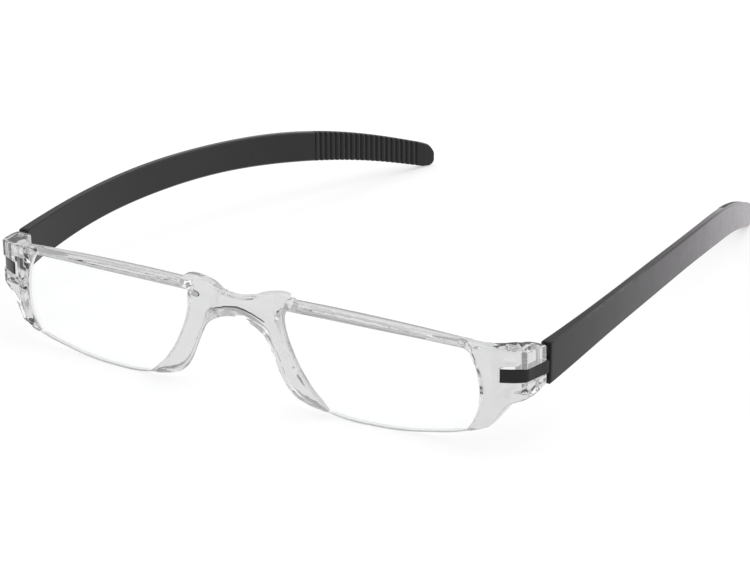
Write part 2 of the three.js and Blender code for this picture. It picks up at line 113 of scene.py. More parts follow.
END_BOTTOM = [[53.76, -13.12], [55.72, -12.5], [57.1, -11.98], [57.5, -11.76], [57.78, -11.44], [60.5, -7.5], [60.78, -7.15], [61.15, -6.85], [61.7, -6.55], [62.57, -6.23], [63.52, -5.95], [64.45, -5.5], [66.6, -4.6]]
END_TOP = [[66.6, 4.4], [64.5, 4.75], [62.5, 4.95], [60, 5.25], [57.8, 5.5], [55, 5.8], [52.9, 6.05], [51.6, 6.2], [51.6, 4.9]]
LENS_BOTTOM = [[21.9, -15.35], [24.5, -15.85], [28, -16.18], [31.7, -16.2], [35.5, -16.18], [40.7, -15.75], [45.2, -15.05], [49.5, -14.3], [52.75, -13.42]]
LENS_FRONT, LENS_BACK = 0.35, 2.25
SEAT = -0.06                       # a lens edge is let into its seat, so no air shows between them

TONGUE_TOP, TONGUE_BOTTOM, TONGUE_T = 0.95, -1.9, 1.3
KNUCKLE_R = 1.95
TEMPLE_LEN, TEMPLE_X0, TEMPLE_FACE_Y, TEMPLE_T = 141.9, 65.92, 2.6, 2.45
TEMPLE_HEADING = [-3.87, 0.62, 5.27, 9.2, 13.64, 16.42, 17.96]
TEMPLE_MID = [0, 2.19, 2.7, 1.46, -1.57, -6.78, -14.3]
TEMPLE_HEIGHT = [8.9, 7.75, 7.4, 7.2, 7.4, 6.75, 5.95]
TEMPLE_THICK = [2.45, 1.95, 1.75, 1.65, 1.7, 1.95, 1.9]
TIP_R = 3.0
GRIP_S0, GRIP_S1, GRIP_T, RIB_PITCH, RIB_DEPTH, RECESS = 102.6, 138.2, 0.7, 1.66, 0.32, 0.95


# ---------------------------------------------------------------------------------
# curve helpers
# ---------------------------------------------------------------------------------
def catmull(P, n=8):
    """a centripetal Catmull-Rom curve through the points"""
    P = np.asarray(P, float)
    Q = np.vstack([2 * P[0] - P[1], P, 2 * P[-1] - P[-2]])
    out = []
    for i in range(len(P) - 1):
        p0, p1, p2, p3 = Q[i : i + 4]
        t0 = 0.0
        t1 = t0 + max(1e-6, np.linalg.norm(p1 - p0)) ** 0.5
        t2 = t1 + max(1e-6, np.linalg.norm(p2 - p1)) ** 0.5
        t3 = t2 + max(1e-6, np.linalg.norm(p3 - p2)) ** 0.5
        for t in np.linspace(t1, t2, n, endpoint=False):
            a1 = (t1 - t) / (t1 - t0) * p0 + (t - t0) / (t1 - t0) * p1
            a2 = (t2 - t) / (t2 - t1) * p1 + (t - t1) / (t2 - t1) * p2
            a3 = (t3 - t) / (t3 - t2) * p2 + (t - t2) / (t3 - t2) * p3
            b1 = (t2 - t) / (t2 - t0) * a1 + (t - t0) / (t2 - t0) * a2
            b2 = (t3 - t) / (t3 - t1) * a2 + (t - t1) / (t3 - t1) * a3
            out.append((t2 - t) / (t2 - t1) * b1 + (t - t1) / (t2 - t1) * b2)
    out.append(P[-1])
    return np.array(out)


def resample(P, n):
    d = np.concatenate([[0], np.cumsum(np.linalg.norm(np.diff(P, axis=0), axis=1))])
    t = np.linspace(0, d[-1], n)
    return np.stack([np.interp(t, d, P[:, k]) for k in range(P.shape[1])], 1)


def spline(values):
    """natural cubic spline through evenly spaced values on 0..1"""
    v = np.asarray(values, float)
    n = len(v)
    A = np.eye(n)
    b = np.zeros(n)
    for i in range(1, n - 1):
        A[i, i - 1 : i + 2] = [1, 4, 1]
        b[i] = 6 * (v[i + 1] - 2 * v[i] + v[i - 1])
    m = np.linalg.solve(A, b)

    def f(u):
        q = np.clip(np.asarray(u, float), 0, 1) * (n - 1)
        i = np.minimum(n - 2, np.floor(q).astype(int))
        t = q - i
        s = 1 - t
        return s * v[i] + t * v[i + 1] + ((s**3 - s) * m[i] + (t**3 - t) * m[i + 1]) / 6

    return f


# ---------------------------------------------------------------------------------
# signed distances
# ---------------------------------------------------------------------------------
def polygon_distance(P, X, Z, signed=True):
    """distance to a closed outline (negative inside), or to an open line"""
    P = np.asarray(P, float)
    d2 = np.full(X.shape, 1e18)
    sign = np.ones(X.shape)
    n = len(P)
    for i in range(n if signed else n - 1):
        a, b = P[i], P[(i + 1) % n]
        ex, ez = b - a
        wx, wz = X - a[0], Z - a[1]
        t = np.clip((wx * ex + wz * ez) / max(1e-12, ex * ex + ez * ez), 0, 1)
        d2 = np.minimum(d2, (wx - ex * t) ** 2 + (wz - ez * t) ** 2)
        if signed:
            c1, c2 = Z >= a[1], Z < b[1]
            c3 = ex * wz > ez * wx
            sign = np.where((c1 & c2 & c3) | (~c1 & ~c2 & ~c3), -sign, sign)
    return np.sqrt(d2) * sign


class Field2D:
    """a function of two coordinates kept on a fine grid and read between its points"""

    def __init__(self, fn, u0, u1, v0, v1, h=0.12):
        self.u = np.arange(u0, u1 + h, h)
        self.v = np.arange(v0, v1 + h, h)
        U, V = np.meshgrid(self.u, self.v, indexing="ij")
        self.g = fn(U, V).astype(np.float32)
        self.h = h

    def __call__(self, u, v):
        a = np.clip((u - self.u[0]) / self.h, 0, len(self.u) - 1.001)
        b = np.clip((v - self.v[0]) / self.h, 0, len(self.v) - 1.001)
        i, j = a.astype(np.int32), b.astype(np.int32)
        s, t = (a - i).astype(np.float32), (b - j).astype(np.float32)
        g = self.g
        return (g[i, j] * (1 - s) + g[i + 1, j] * s) * (1 - t) + (g[i, j + 1] * (1 - s) + g[i + 1, j + 1] * s) * t


def rounded(r, *ds):
    """the intersection of several bodies, with its edges rounded to r"""
    q = [d + r for d in ds]
    inside = q[0]
    acc = np.maximum(q[0], 0) ** 2
    for e in q[1:]:
        inside = np.maximum(inside, e)
        acc = acc + np.maximum(e, 0) ** 2
    return np.minimum(inside, 0) + np.sqrt(acc) - r


def melt(a, b, k):
    """a smooth join of two bodies, with a fillet of about k"""
    h = np.clip(0.5 + 0.5 * (b - a) / k, 0, 1)
    return b * (1 - h) + a * h - k * h * (1 - h)


def surface_nets(F, axes):
    """a closed quad mesh on the zero level of F"""
    S = F < 0
    nx, ny, nz = F.shape
    corners = [(i, j, k) for i in (0, 1) for j in (0, 1) for k in (0, 1)]
    some = np.zeros((nx - 1, ny - 1, nz - 1), bool)
    every = np.ones_like(some)
    for i, j, k in corners:
        q = S[i : nx - 1 + i, j : ny - 1 + j, k : nz - 1 + k]
        some |= q
        every &= q
    cell = some & ~every
    pts = np.argwhere(cell)
    index = np.full(cell.shape, -1, np.int64)
    index[cell] = np.arange(len(pts))
    I, J, Kk = pts.T
    V = {c: F[I + c[0], J + c[1], Kk + c[2]].astype(float) for c in corners}
    acc, cnt = np.zeros((len(pts), 3)), np.zeros(len(pts))
    for a in corners:
        for ax in range(3):
            if a[ax] == 0:
                b = list(a)
                b[ax] = 1
                fa, fb = V[a], V[tuple(b)]
                m = (fa < 0) != (fb < 0)
                t = np.where(m, fa / np.where(m, fa - fb, 1), 0)
                p = np.tile(np.array(a, float), (len(pts), 1))
                p[:, ax] += t
                acc[m] += p[m]
                cnt[m] += 1
    at = pts + acc / cnt[:, None]
    verts = np.stack([np.interp(at[:, a], np.arange(len(axes[a])), axes[a]) for a in range(3)], 1)
    faces = []
    for ax in range(3):
        u, w = (ax + 1) % 3, (ax + 2) % 3
        lo = [slice(None)] * 3
        hi = [slice(None)] * 3
        lo[ax], hi[ax] = slice(0, -1), slice(1, None)
        A, B = S[tuple(lo)], S[tuple(hi)]
        e = np.argwhere(A != B)
        ok = (e[:, u] >= 1) & (e[:, w] >= 1) & (e[:, u] < F.shape[u] - 1) & (e[:, w] < F.shape[w] - 1)
        e = e[ok]
        out = A[tuple(e.T)]
        du, dw = np.zeros(3, int), np.zeros(3, int)
        du[u], dw[w] = 1, 1
        c = [index[tuple((e - du - dw).T)], index[tuple((e - dw).T)], index[tuple(e.T)], index[tuple((e - du).T)]]
        q = np.stack(c, 1)
        q[~out] = q[~out][:, ::-1]
        faces.append(q)
    return verts, np.vstack(faces)


# ---------------------------------------------------------------------------------
# mesh objects
# ---------------------------------------------------------------------------------
def add_object(name, verts, faces, smooth=True, mirror=False, sharp=None):
    verts = np.asarray(verts, float)
    faces = [list(map(int, f)) for f in faces] if not isinstance(faces, np.ndarray) else faces.tolist()
    if mirror:
        verts = verts * np.array([-1.0, 1.0, 1.0])
        faces = [f[::-1] for f in faces]
    me = bpy.data.meshes.new(name)
    me.from_pydata(place(verts).tolist(), [], faces)
    me.validate()
    me.polygons.foreach_set("use_smooth", [smooth] * len(me.polygons))
    me.update()
    if sharp is not None:
        me.set_sharp_from_angle(angle=math.radians(sharp))
    o = bpy.data.objects.new(name, me)
    bpy.context.scene.collection.objects.link(o)
    return o


def loft(rings, cap=True):
    """quads between closed rings of equal count, with fan caps"""
    rings = np.asarray(rings, float)
    m, n = rings.shape[:2]
    verts = rings.reshape(-1, 3)
    faces = []
    for k in range(m - 1):
        for j in range(n):
            a, b = k * n + j, k * n + (j + 1) % n
            faces.append([a, b, b + n, a + n])
    if cap:
        verts = np.vstack([verts, rings[0].mean(0), rings[-1].mean(0)])
        c0, c1 = m * n, m * n + 1
        for j in range(n):
            faces.append([c0, (j + 1) % n, j])
            faces.append([c1, (m - 1) * n + j, (m - 1) * n + (j + 1) % n])
    return verts, faces


def outward(verts, faces):
    """turn the faces out if they face in"""
    v = np.asarray(verts, float)
    vol = 0.0
    for f in faces:
        a = v[f[0]]
        for i in range(1, len(f) - 1):
            vol += np.dot(a, np.cross(v[f[i]], v[f[i + 1]]))
    return [f[::-1] for f in faces] if vol < 0 else faces


# ---------------------------------------------------------------------------------
# materials
# ---------------------------------------------------------------------------------
def node_material(name):
    m = bpy.data.materials.new(name)
    m.use_nodes = True
    nt = m.node_tree
    b = nt.nodes["Principled BSDF"]
    return m, nt, b


def noise(nt, scale, detail=3.0, rough=0.5, stretch=None):
    tc = nt.nodes.new("ShaderNodeTexCoord")
    mp = nt.nodes.new("ShaderNodeMapping")
    if stretch:
        mp.inputs["Scale"].default_value = stretch
    n = nt.nodes.new("ShaderNodeTexNoise")
    n.inputs["Scale"].default_value = scale
    n.inputs["Detail"].default_value = detail
    n.inputs["Roughness"].default_value = rough
    nt.links.new(tc.outputs["Object"], mp.inputs["Vector"])
    nt.links.new(mp.outputs["Vector"], n.inputs["Vector"])
    return n


def ramp(nt, fac, c0, c1, p0=0.3, p1=0.7):
    r = nt.nodes.new("ShaderNodeValToRGB")
    r.color_ramp.elements[0].position, r.color_ramp.elements[0].color = p0, c0
    r.color_ramp.elements[1].position, r.color_ramp.elements[1].color = p1, c1
    nt.links.new(fac, r.inputs["Fac"])
    return r


def mapped(nt, fac, a, b, lo, hi):
    r = nt.nodes.new("ShaderNodeMapRange")
    r.inputs["From Min"].default_value, r.inputs["From Max"].default_value = a, b
    r.inputs["To Min"].default_value, r.inputs["To Max"].default_value = lo, hi
    nt.links.new(fac, r.inputs["Value"])
    return r


def bump(nt, b, height, strength, distance):
    bp = nt.nodes.new("ShaderNodeBump")
    bp.inputs["Strength"].default_value = strength
    bp.inputs["Distance"].default_value = distance
    nt.links.new(height, bp.inputs["Height"])
    nt.links.new(bp.outputs["Normal"], b.inputs["Normal"])


PAINTED_GLOW_DEPTH = 5.5        # bounces inside the clear plastic after which it shows a painted grey glow in place of traced light


def clear_plastic(name, tint_a, tint_b, ior, shadow, rough=0.0):
    """moulded clear plastic: faint flow streaks in tint and gloss, light passes to the table, and paths that bounce
    deep inside end in a painted grey glow
    """
    m, nt, b = node_material(name)
    n = noise(nt, 55.0, 2.0, 0.5, (1.0, 1.0, 3.0))
    r = ramp(nt, n.outputs["Fac"], (*tint_a, 1), (*tint_b, 1))
    nt.links.new(r.outputs["Color"], b.inputs["Base Color"])
    fine = noise(nt, 900.0, 2.0, 0.5)
    rr = mapped(nt, fine.outputs["Fac"], 0.3, 0.75, rough, rough + 0.02)
    nt.links.new(rr.outputs["Result"], b.inputs["Roughness"])
    b.inputs["Transmission Weight"].default_value = 1.0
    b.inputs["IOR"].default_value = ior
    out = nt.nodes["Material Output"]
    lp = nt.nodes.new("ShaderNodeLightPath")
    tr = nt.nodes.new("ShaderNodeBsdfTransparent")
    tr.inputs["Color"].default_value = (shadow, shadow, shadow, 1)
    # past that many bounces the plastic shows a painted soft grey glow, an emission that stands in for the light that
    # would be piped round inside the moulding
    painted_glow = nt.nodes.new("ShaderNodeEmission")
    # the grey colour of the painted glow
    painted_glow_ramp = ramp(nt, n.outputs["Fac"], (0.50, 0.50, 0.505, 1), (0.60, 0.60, 0.605, 1))
    nt.links.new(painted_glow_ramp.outputs["Color"], painted_glow.inputs["Color"])
    deep = nt.nodes.new("ShaderNodeMath")
    deep.operation = "GREATER_THAN"
    deep.inputs[1].default_value = PAINTED_GLOW_DEPTH
    nt.links.new(lp.outputs["Ray Depth"], deep.inputs[0])
    painted_glow_mix = nt.nodes.new("ShaderNodeMixShader")
    nt.links.new(deep.outputs["Value"], painted_glow_mix.inputs["Fac"])
    nt.links.new(b.outputs["BSDF"], painted_glow_mix.inputs[1])
    nt.links.new(painted_glow.outputs["Emission"], painted_glow_mix.inputs[2])
    mx = nt.nodes.new("ShaderNodeMixShader")
    nt.links.new(lp.outputs["Is Shadow Ray"], mx.inputs["Fac"])
    nt.links.new(painted_glow_mix.outputs["Shader"], mx.inputs[1])
    nt.links.new(tr.outputs["BSDF"], mx.inputs[2])
    nt.links.new(mx.outputs["Shader"], out.inputs["Surface"])
    m.cycles.emission_sampling = "NONE"
    return m


def dark_plastic(name, c0, c1, rough0, rough1, grain, sheen):
    """satin moulded plastic: fine moulding grain, and slight handling wear in the gloss"""
    m, nt, b = node_material(name)
    cloud = noise(nt, 90.0, 4.0, 0.6)
    r = ramp(nt, cloud.outputs["Fac"], (*c0, 1), (*c1, 1))
    nt.links.new(r.outputs["Color"], b.inputs["Base Color"])
    wear = noise(nt, 260.0, 4.0, 0.65)
    rr = mapped(nt, wear.outputs["Fac"], 0.3, 0.7, rough0, rough1)
    nt.links.new(rr.outputs["Result"], b.inputs["Roughness"])
    g = noise(nt, grain, 2.0, 0.5)
    bump(nt, b, g.outputs["Fac"], 0.05, 0.00002)
    b.inputs["IOR"].default_value = 1.5
    b.inputs["Specular IOR Level"].default_value = 0.24
    b.inputs["Sheen Weight"].default_value = sheen
    b.inputs["Sheen Roughness"].default_value = 0.3
    b.inputs["Sheen Tint"].default_value = (1.0, 0.92, 0.975, 1)
    return m


def pin_metal(name):
    m, nt, b = node_material(name)
    n = noise(nt, 700.0, 3.0, 0.6, (1.0, 1.0, 0.15))
    r = ramp(nt, n.outputs["Fac"], (0.90, 0.90, 0.91, 1), (0.96, 0.96, 0.97, 1))
    nt.links.new(r.outputs["Color"], b.inputs["Base Color"])
    rr = mapped(nt, n.outputs["Fac"], 0.3, 0.7, 0.42, 0.55)
    nt.links.new(rr.outputs["Result"], b.inputs["Roughness"])
    b.inputs["Metallic"].default_value = 0.7
    bump(nt, b, n.outputs["Fac"], 0.15, 0.00001)
    return m


MAT_FRAME = clear_plastic("clear_frame_plastic", (0.685, 0.685, 0.687), (0.715, 0.715, 0.717), 1.49, 0.86)
MAT_LENS = clear_plastic("clear_lens_plastic", (0.985, 0.988, 0.99), (0.995, 0.996, 0.998), 1.5, 0.97)
MAT_EDGE = clear_plastic("ground_lens_edge", (0.70, 0.705, 0.71), (0.78, 0.785, 0.79), 1.5, 0.9, 0.32)
MAT_SEAT = clear_plastic("bedded_lens_edge", (0.62, 0.62, 0.625), (0.70, 0.70, 0.705), 1.0, 0.97)
MAT_TEMPLE = dark_plastic("dark_temple_plastic", (0.0075, 0.0068, 0.0078), (0.010, 0.0092, 0.0102), 0.27, 0.36, 4200.0, 0.56)
MAT_GRIP = dark_plastic("dark_grip_plastic", (0.007, 0.0063, 0.0073), (0.0095, 0.0087, 0.0098), 0.34, 0.44, 5200.0, 0.22)
MAT_PIN = pin_metal("pin_steel")


# ---------------------------------------------------------------------------------
# clear front
# ---------------------------------------------------------------------------------
leg = np.array(LEG, float)
nose_line = catmull(leg[:, :2], 6)
lens_line = catmull(leg[:, 2:4], 6)


def mirror_line(L):
    """a half outline from the symmetry plane outwards, continued a little past it"""
    back = L[1:6][::-1] * np.array([-1.0, 1.0])
    return np.vstack([back, L])


nose_full, lens_full = mirror_line(nose_line), mirror_line(lens_line)
leg_poly = np.vstack([nose_full, lens_full[::-1]])
xs = np.linspace(10.2, 59, 60)
brow_low = np.stack([xs, np.interp(xs, *np.array(BROW_LOW).T)], 1)
brow_top_line = catmull(BROW_TOP, 8)
brow_top = np.stack([xs, np.interp(xs, brow_top_line[:, 0], brow_top_line[:, 1])], 1)
brow_poly = np.vstack([brow_low, brow_top[::-1]])
end_in = catmull(END_IN, 8)
end_poly = np.vstack([end_in, END_BOTTOM[:6], catmull(END_BOTTOM[6:], 6), END_TOP[0:1], catmull(END_TOP, 4)[1:]])

# the lens outline: inner edge, top edge, outer edge, bottom edge
inner_edge = lens_line[np.argmax(lens_line[:, 1] < 5.72) :][::-1] + np.array([0.02, 0.0])
bottom_edge = catmull(LENS_BOTTOM, 6)
inner_edge = np.vstack([[bottom_edge[0]], inner_edge[1:]])
top_x = np.linspace(inner_edge[-1][0], 52.35, 60)
top_edge = np.stack([top_x, np.interp(top_x, *np.array(BROW_LOW).T) - 0.02], 1)
outer_edge = end_in[::-1]
outer_edge = np.vstack([[bottom_edge[-1]], outer_edge[1:]])
lens_poly = np.vstack([inner_edge[:-1], top_edge[:-1], outer_edge[::-1][:-1], bottom_edge[::-1][:-1]])

plan = [[x, float(front_y(np.array(x)))] for x in np.linspace(51, 63.7, 30)]
plan += catmull([[64.2, -4.95], [64.6, -4.62], [64.82, -3.9], [65.2, -1.2], [65.5, 0.9], [65.45, 1.7], [65.0, 2.2], [64.4, 2.25], [PIN_X, 2.25]], 4).tolist()
plan += [[PIN_X + 2.25 * math.cos(a), 2.25 * math.sin(a)] for a in np.linspace(math.pi / 2, math.pi, 12)[1:]]
plan += [[61.0, -0.6], [60.1, -1.2], [58.8, -3.4], [57.2, -5.3], [55.2, -6.7], [53.4, float(front_y(np.array(53.4))) + 2.3], [51, float(front_y(np.array(51.0))) + 2.3]]
side = [[-14, -15], [-3.2, -15], [-1.7, -5.25], [-0.6, -4.9], [0.6, -4.35], [2.4, -3.95], [2.4, 3.7], [2.0, 4.25], [1.2, 4.5], [-14, 8]]
slot_plan = [[PIN_X - 2.3, 6], [PIN_X - 2.3, -0.9], [PIN_X - 1.9, -3.1], [PIN_X - 4.35, -5.75], [PIN_X - 3.8, -7.6], [PIN_X - 3.8, -12], [PIN_X + 9, -12], [PIN_X + 9, 6]]


def depth_field(X, Z):
    mid = (leg[:, :2] + leg[:, 2:4]) / 2
    w = 0
    t = 0
    for (mx, mz), T in zip(mid, leg[:, 4]):
        q = 1.0 / (((X - mx) ** 2 + (Z - mz) ** 2) ** 2 + 1e-3)
        w = w + q
        t = t + q * T
    T = t / w
    # the leg is deep on the nose side and thins to the lens
    dn = polygon_distance(nose_full, X, Z, False)
    dm = polygon_distance(lens_full, X, Z, False)
    g = np.clip(dm / (dn + dm + 1e-6) * 1.25, 0, 1)
    g = g * g * (3 - 2 * g)
    side_leg = np.clip((np.abs(X) - 7.5) / 3.0, 0, 1)
    thin = np.minimum(T, 2.7)
    return T * (1 - side_leg) + (thin + (T - thin) * g) * side_leg


def round_field(X, Z):
    """edge rounding: generous on the nose side and over the bridge, crisp beside the lens"""
    dn = polygon_distance(nose_full, X, Z, False)
    dm = polygon_distance(lens_full, X, Z, False)
    f = np.clip(dm / (dn + dm + 1e-6), 0, 1)
    f = f * f * (3 - 2 * f)
    bridge = np.clip((9.5 - np.abs(X)) / 3.0, 0, 1)
    low = 0.3 + 1.0 * bridge
    high = np.clip(1.7 - 0.1 * np.maximum(0, -13 - Z) * 4, 0.6, 1.7)
    return low + (high - low) * f


def build_front():
    h = STEP
    x = np.concatenate([np.arange(0.5 * h, 23.5, h), np.arange(23.6, 50.0, LONG), np.arange(50.0, 66.9, h)])
    nx = len(x)
    y = np.arange(-13.2, 3.2, h)
    z = np.arange(-17.0, 9.6, h)
    # the nose side and the lens side are kept apart, because the nose side flares with depth
    nose_half = np.vstack([nose_full, [[40.0, -16.5], [40.0, 30.0], [-40.0, 30.0], [-40.0, 0.5]]])
    lens_half = np.vstack([lens_full, [[21.95, -15.6], [21.9, -30.0], [-40.0, -30.0], [-40.0, 6.7]]])
    f_nose = Field2D(lambda X, Z: polygon_distance(nose_half, X, Z), -1.5, 26, -17.5, 10)
    f_lside = Field2D(lambda X, Z: polygon_distance(lens_half, X, Z), -1.5, 26, -17.5, 10)
    f_T = Field2D(depth_field, -1.5, 26, -17.5, 10, 0.3)
    f_r = Field2D(round_field, -1.5, 26, -17.5, 10, 0.2)
    # the top of the bridge falls away behind
    f_bt = Field2D(lambda X, Z: Z - np.interp(np.abs(X), lens_line[:32, 0], lens_line[:32, 1]) - 8 * np.clip((np.abs(X) - 9.5) / 2, 0, 1), -1.5, 26, -17.5, 10, 0.2)
    f_brow = Field2D(lambda X, Z: polygon_distance(brow_poly, X, Z), 5, 68, -3, 10)
    f_top = Field2D(lambda X, Z: Z - np.interp(X, brow_top_line[:, 0], brow_top_line[:, 1]), 5, 68, -3, 10, 0.3)
    f_end = Field2D(lambda X, Z: polygon_distance(end_poly, X, Z), 46, 68, -17.5, 10)
    f_in = Field2D(lambda X, Z: polygon_distance(end_in, X, Z, False), 46, 68, -17.5, 10)
    f_plan = Field2D(lambda X, Y: polygon_distance(plan, X, Y), 46, 68, -14.5, 4)
    f_side = Field2D(lambda Y, Z: polygon_distance(side, Y, Z), -14.5, 4, -17.5, 10)
    f_slot = Field2D(lambda X, Y: polygon_distance(slot_plan, X, Y), 46, 68, -14.5, 4)
    f_lens = Field2D(lambda X, Z: polygon_distance(lens_poly, X, Z), 8, 60, -17.5, 10)
    F = np.full((nx, len(y), len(z)), 50.0, np.float32)
    block = 24
    for i0 in range(0, nx, block):
        X, Y, Z = np.meshgrid(x[i0 : i0 + block], y, z, indexing="ij")
        X, Y, Z = X.astype(np.float32), Y.astype(np.float32), Z.astype(np.float32)
        s = front_slope(X)
        l = np.sqrt(1 + s * s)
        d = (Y - front_y(X) + PANTO * Z) / l
        x0 = X + d * s / l
        f = np.full(X.shape, 50.0, np.float32)
        if x[i0] < 24:
            T = f_T(x0, Z)
            r = np.minimum(f_r(x0, Z), T * 0.48)
            flare = 0.55 * np.clip((Z + 16.3) / 2.0, 0.1, 1)
            fn = (f_nose(x0, Z) + flare * np.maximum(0, d - 0.5)) / np.sqrt(1 + flare**2)
            rr = np.where(d < T * 0.4, np.minimum(r, 0.5), r)
            f = rounded(rr, fn, np.maximum(f_lside(x0, Z), (f_bt(x0, Z) + 0.36 * d - 0.35) * 0.94), np.abs(d - T / 2) - T / 2)
            # the border of the nose edge is bevelled
            f = np.maximum(f, 0.94 * (0.35 * (1.85 + f_nose(x0, Z)) - d))
            px = PAD["x"]
            sp = 1.0
            c, sn = math.cos(PAD["turn"]), math.sin(PAD["turn"])
            qx, qy, qz = X - px, Y - (float(front_y(np.array(px))) + PAD["d"] - PANTO * PAD["z"]), Z - PAD["z"]
            ax, az = qx * c - qz * sn, qx * sn + qz * c
            rx, ry, rz = PAD["r"]
            ax, ay, az = np.abs(ax), np.abs(qy), np.abs(az)
            g = (ax / rx) ** 2.6 + (ay / ry) ** 2.6 + (az / rz) ** 2.6 + 1e-6
            k0 = g ** (1 / 2.6)
            k1 = g ** (1 / 2.6 - 1) * np.sqrt((ax / rx) ** 3.2 / rx**2 + (ay / ry) ** 3.2 / ry**2 + (az / rz) ** 3.2 / rz**2)
            pad = (k0 - 1) / np.maximum(k1, 0.08)
            f = melt(f, pad, 0.9)
        if x[i0 : i0 + block][-1] > 8:
            b = rounded(0.28, f_brow(x0, Z), np.abs(d - BROW_DEPTH / 2) - BROW_DEPTH / 2, (f_top(x0, Z) + 0.55) * 0.83 - d * 0.55)
            f = melt(f, b, 0.7)
        if x[i0 : i0 + block][-1] > 47:
            Yl = Y + PANTO * Z
            re = 0.14 + 0.36 * np.clip((Z + 13.5) / 3.0, 0, 1)
            e = rounded(re, f_end(X, Z), f_plan(X, Yl), f_side(Y, Z))
            e = np.maximum(e, 0.95 * (0.31 * (1.08 - f_in(X, Z)) - d))
            f = melt(f, e, 0.6)
            zs = (TONGUE_TOP + TONGUE_BOTTOM) / 2
            hs = (TONGUE_TOP - TONGUE_BOTTOM) / 2 + 0.07
            slot = rounded(0.15, f_slot(X, Y), np.abs(Z - zs) - hs)
            f = np.maximum(f, -slot)
            bore = np.hypot(X - PIN_X, Y) - 0.5
            f = np.maximum(f, -bore)
        if 8 < x[i0 : i0 + block][-1]:
            f = np.maximum(f, SEAT - f_lens(x0, Z))
        F[i0 : i0 + block] = f
    full = np.concatenate([F[::-1], F], 0)
    v, q = surface_nets(full, (np.concatenate([-x[::-1], x]), y, z))
    return relax(v, q, 3), q


def relax(v, q, rounds):
    """evens the mesh out without shrinking it"""
    e = np.vstack([q[:, [0, 1]], q[:, [1, 2]], q[:, [2, 3]], q[:, [3, 0]]])
    e = np.vstack([e, e[:, ::-1]])
    cnt = np.bincount(e[:, 0], minlength=len(v))[:, None]
    for k in range(rounds):
        for lam in (0.5, -0.52):
            acc = np.stack([np.bincount(e[:, 0], weights=v[e[:, 1], a], minlength=len(v)) for a in range(3)], 1)
            v = v + lam * (acc / cnt - v)
    return v


def polished_normals(v, q, rounds=8, crease=0.022):
    """vertex normals evened out along each face of the moulding but not across its edges"""
    d1, d2 = v[q[:, 2]] - v[q[:, 0]], v[q[:, 3]] - v[q[:, 1]]
    fn = np.cross(d1, d2)
    n = np.stack([np.bincount(q.ravel(), weights=np.repeat(fn[:, a], 4), minlength=len(v)) for a in range(3)], 1)
    n /= np.maximum(1e-12, np.linalg.norm(n, axis=1))[:, None]
    e = np.vstack([q[:, [0, 1]], q[:, [1, 2]], q[:, [2, 3]], q[:, [3, 0]]])
    e = np.vstack([e, e[:, ::-1]])
    for k in range(rounds):
        a, b = n[e[:, 0]], n[e[:, 1]]
        w = np.exp(-(1.0 - np.einsum("ij,ij->i", a, b)) / crease)
        n = n + np.stack([np.bincount(e[:, 0], weights=w * b[:, i], minlength=len(v)) for i in range(3)], 1)
        n /= np.maximum(1e-12, np.linalg.norm(n, axis=1))[:, None]
    return n


v, q = build_front()
front = add_object("front_frame_clear", v, q)
front.data.normals_split_custom_set_from_vertices(polished_normals(v, q).tolist())
front.data.materials.append(MAT_FRAME)
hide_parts("front_frame")
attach(front, "front")


# ---------------------------------------------------------------------------------
# lenses: curved front and back, polished edge with small bevels
# ---------------------------------------------------------------------------------
def coons(nu, nv):
    B, T = resample(bottom_edge, nu), resample(top_edge, nu)
    I, O = resample(inner_edge, nv), resample(outer_edge, nv)
    s = np.linspace(0, 1, nu)[:, None, None]
    t = np.linspace(0, 1, nv)[None, :, None]
    P = (1 - t) * B[:, None] + t * T[:, None] + (1 - s) * I[None] + s * O[None]
    P -= (1 - s) * (1 - t) * B[0] + s * (1 - t) * B[-1] + (1 - s) * t * T[0] + s * t * T[-1]
    return P


